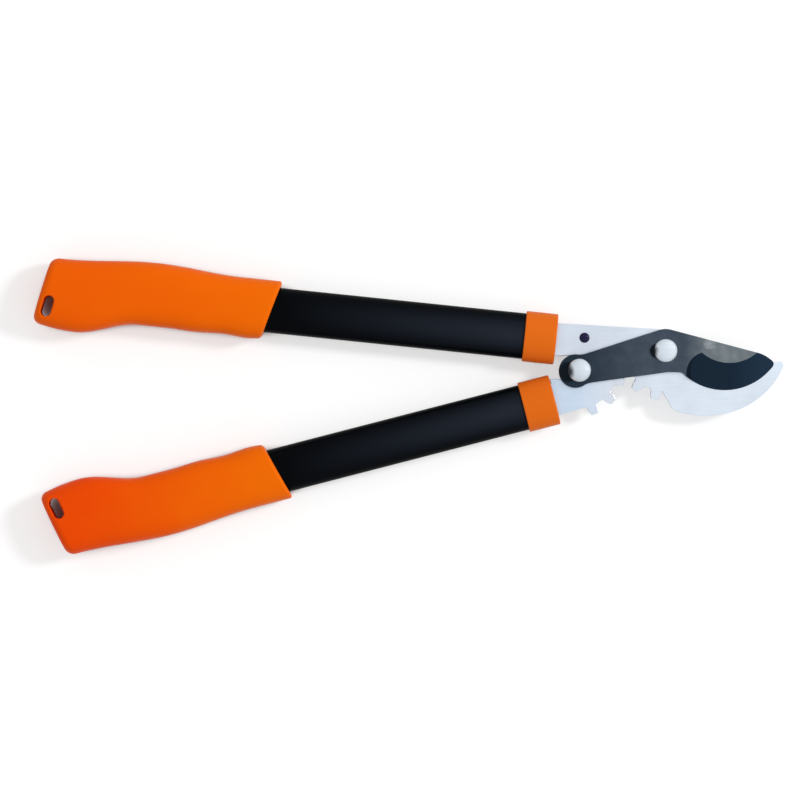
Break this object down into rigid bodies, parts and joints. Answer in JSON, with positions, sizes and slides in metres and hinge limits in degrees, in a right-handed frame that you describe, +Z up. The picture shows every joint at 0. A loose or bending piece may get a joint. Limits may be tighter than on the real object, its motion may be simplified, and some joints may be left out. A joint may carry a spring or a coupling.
{
  "type": "lopper",
  "caption": "Geared bypass lopper: a hooked upper handle, a blade lever on the main pivot, and a lower handle whose gear rolls on the hook plate's gear.",
  "frame": {"origin": "on the main pivot's axis, at the flat end of the pivot bolt, which is the plane that the lopper lies on", "axes": "+X towards the tip of the jaw, +Y from the lower handle towards the upper one, +Z up from the surface to the bolt heads"},
  "size_m": [0.4581, 0.1806, 0.026],
  "materials": {
    "pale_plate": "satin",
    "dark_blade": "dark ground steel with a thin coating",
    "zinc": "bright zinc",
    "black_rivet": "black",
    "black_tube": "satin powder coat",
    "orange_collar": "moulded",
    "orange_grip": "soft moulded",
    "black_nylon": "moulded",
    "white_nylon": "moulded",
    "bronze": "plain bearing"
  },
  "bodies": {
    "upper_handle": {"hook_plate": "pale_plate", "plate_rivet": "black_rivet", "upper_tube": "black_tube", "upper_tang_insert": "black_nylon", "upper_tang_pin": "zinc", "upper_collar": "orange_collar", "upper_grip": "orange_grip", "pivot_bolt": "zinc", "pivot_washer": "zinc", "pivot_nut": "zinc", "pivot_nut_ring": "white_nylon"},
    "blade_lever": {"blade": "dark_blade", "pivot_bush": "bronze", "rear_bolt": "zinc", "rear_bush": "bronze", "rear_washer": "zinc", "rear_nut": "zinc", "rear_nut_ring": "white_nylon"},
    "lower_handle": {"gear_plate": "pale_plate", "lower_tube": "black_tube", "lower_tang_insert": "black_nylon", "lower_tang_pin": "zinc", "lower_collar": "orange_collar", "lower_grip": "orange_grip"}
  },
  "joints": [
    {"name": "blade_pivot", "type": "hinge", "parent": "upper_handle", "child": "blade_lever", "pos_m": [0, 0, 0.0178], "axis": [0, 0, 1], "range_deg": [0, 35]},
    {"name": "rear_pivot", "type": "hinge", "parent": "blade_lever", "child": "lower_handle", "pos_m": [-0.05266, -0.01196, 0.013], "axis": [0, 0, 1], "range_deg": [0, 37.7]}
  ],
  "couplings": [
    {"joint": "rear_pivot", "follows": "blade_pivot", "ratio": 1.0769}
  ]
}
